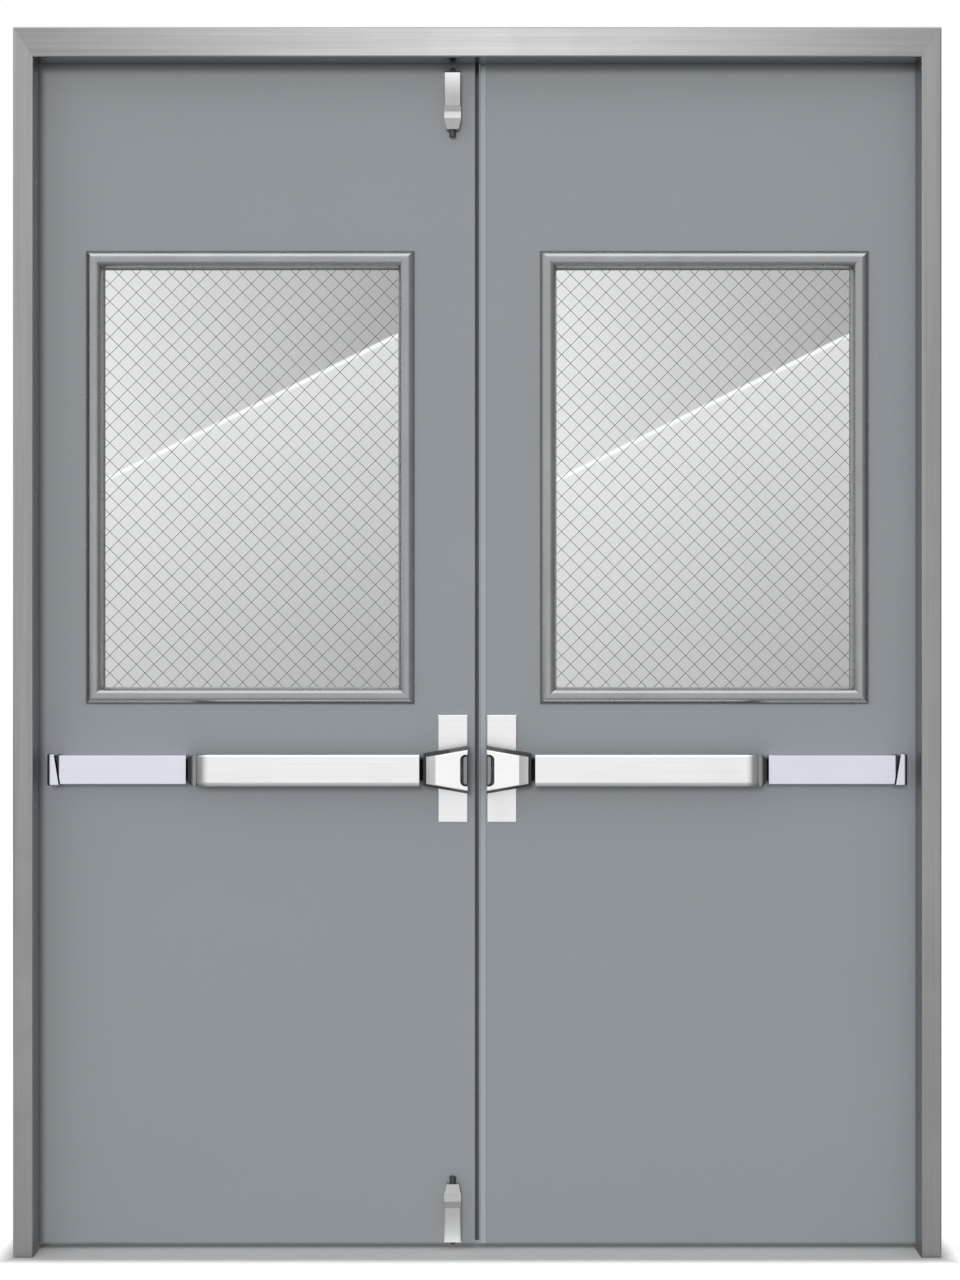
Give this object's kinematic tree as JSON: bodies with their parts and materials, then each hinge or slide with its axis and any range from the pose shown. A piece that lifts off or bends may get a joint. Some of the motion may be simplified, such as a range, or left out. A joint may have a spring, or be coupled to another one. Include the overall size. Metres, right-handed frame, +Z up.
{
  "type": "fire-rated double door",
  "caption": "Fire-rated steel double door in a rebated pressed frame, with wired-glass vision panels, push-pad exit bars, latch cases and butt hinges.",
  "frame": {"origin": "on the floor, on the underside of the plate in the left jamb's foot, midway through the frame's depth", "axes": "+X along the wall to the right as seen from the push side, +Y through the doorway from the push side to the pull side, +Z up"},
  "size_m": [1.6, 0.1295, 2.12],
  "materials": {
    "frame_steel": "satin brushed",
    "smoke_seal": "matte",
    "hinge_steel": "satin",
    "leaf_paint": "satin grey paint",
    "mineral_core": "matte board",
    "glazing_steel": "satin polished",
    "wired_glass": "clear, wired",
    "gasket": "matte",
    "rail_black": "black anodised",
    "bar_cover_steel": "satin",
    "bar_steel": "satin bright",
    "body_black": "black",
    "latch_steel": "dark"
  },
  "bodies": {
    "frame": {"left_jamb": "frame_steel", "right_jamb": "frame_steel", "head": "frame_steel", "floor_plates": "frame_steel", "perimeter_seal": "smoke_seal", "hinge_frame_plates": "hinge_steel", "hinge_pins": "hinge_steel"},
    "left_leaf": {"left_leaf_front_skin": "leaf_paint", "left_leaf_back_skin": "leaf_paint", "left_leaf_core": "mineral_core", "left_leaf_edge_strip": "smoke_seal", "left_vision_frame_front": "glazing_steel", "left_vision_frame_back": "glazing_steel", "left_glass": "wired_glass", "left_glazing_gaskets": "gasket", "left_hinge_leaf_plates": "hinge_steel", "left_bar_rail": "rail_black", "left_bar_cover": "bar_cover_steel", "left_bar_end_cap": "bar_cover_steel", "left_latch_plate": "bar_steel", "left_latch_body": "body_black", "left_latch_cover": "bar_steel", "top_latch_case": "bar_steel", "bottom_latch_case": "bar_steel"},
    "right_leaf": {"right_leaf_front_skin": "leaf_paint", "right_leaf_back_skin": "leaf_paint", "right_leaf_core": "mineral_core", "right_leaf_edge_strip": "smoke_seal", "right_vision_frame_front": "glazing_steel", "right_vision_frame_back": "glazing_steel", "right_glass": "wired_glass", "right_glazing_gaskets": "gasket", "right_hinge_leaf_plates": "hinge_steel", "right_bar_rail": "rail_black", "right_bar_cover": "bar_cover_steel", "right_bar_end_cap": "bar_cover_steel", "right_latch_plate": "bar_steel", "right_latch_body": "body_black", "right_latch_cover": "bar_steel", "right_meeting_strip": "leaf_paint"},
    "left_push_bar": {"left_push_pad": "bar_steel", "left_push_pad_end": "body_black"},
    "right_push_bar": {"right_push_pad": "bar_steel", "right_push_pad_end": "body_black"},
    "left_latch": {"left_latch_bolt": "latch_steel"},
    "right_latch": {"right_latch_bolt": "latch_steel"},
    "top_bolt_rod": {"top_bolt": "latch_steel"},
    "bottom_bolt_rod": {"bottom_bolt": "latch_steel"}
  },
  "joints": [
    {"name": "left_leaf_swing", "type": "hinge", "parent": "frame", "child": "left_leaf", "pos_m": [0.006, 0.0625, 1.0469], "axis": [0, 0, 1], "range_deg": [0, 110]},
    {"name": "right_leaf_swing", "type": "hinge", "parent": "frame", "child": "right_leaf", "pos_m": [1.559, 0.0625, 1.0469], "axis": [0, 0, -1], "range_deg": [0, 110]},
    {"name": "left_bar_press", "type": "slide", "parent": "left_leaf", "child": "left_push_bar", "axis": [0, 1, 0], "range_m": [0, 0.016], "stiffness_N_per_m": 2500, "springref_m": -0.006},
    {"name": "right_bar_press", "type": "slide", "parent": "right_leaf", "child": "right_push_bar", "axis": [0, 1, 0], "range_m": [0, 0.016], "stiffness_N_per_m": 2500, "springref_m": -0.006},
    {"name": "left_latch_retract", "type": "slide", "parent": "left_leaf", "child": "left_latch", "axis": [-1, 0, 0], "range_m": [0, 0.01]},
    {"name": "right_latch_retract", "type": "slide", "parent": "right_leaf", "child": "right_latch", "axis": [1, 0, 0], "range_m": [0, 0.01]},
    {"name": "top_bolt_retract", "type": "slide", "parent": "left_leaf", "child": "top_bolt_rod", "axis": [0, 0, -1], "range_m": [0, 0.008]},
    {"name": "bottom_bolt_retract", "type": "slide", "parent": "left_leaf", "child": "bottom_bolt_rod", "axis": [0, 0, 1], "range_m": [0, 0.008]}
  ],
  "couplings": [
    {"joint": "left_latch_retract", "follows": "left_bar_press", "ratio": 0.625},
    {"joint": "right_latch_retract", "follows": "right_bar_press", "ratio": 0.625},
    {"joint": "top_bolt_retract", "follows": "left_bar_press", "ratio": 0.5},
    {"joint": "bottom_bolt_retract", "follows": "left_bar_press", "ratio": 0.5}
  ]
}
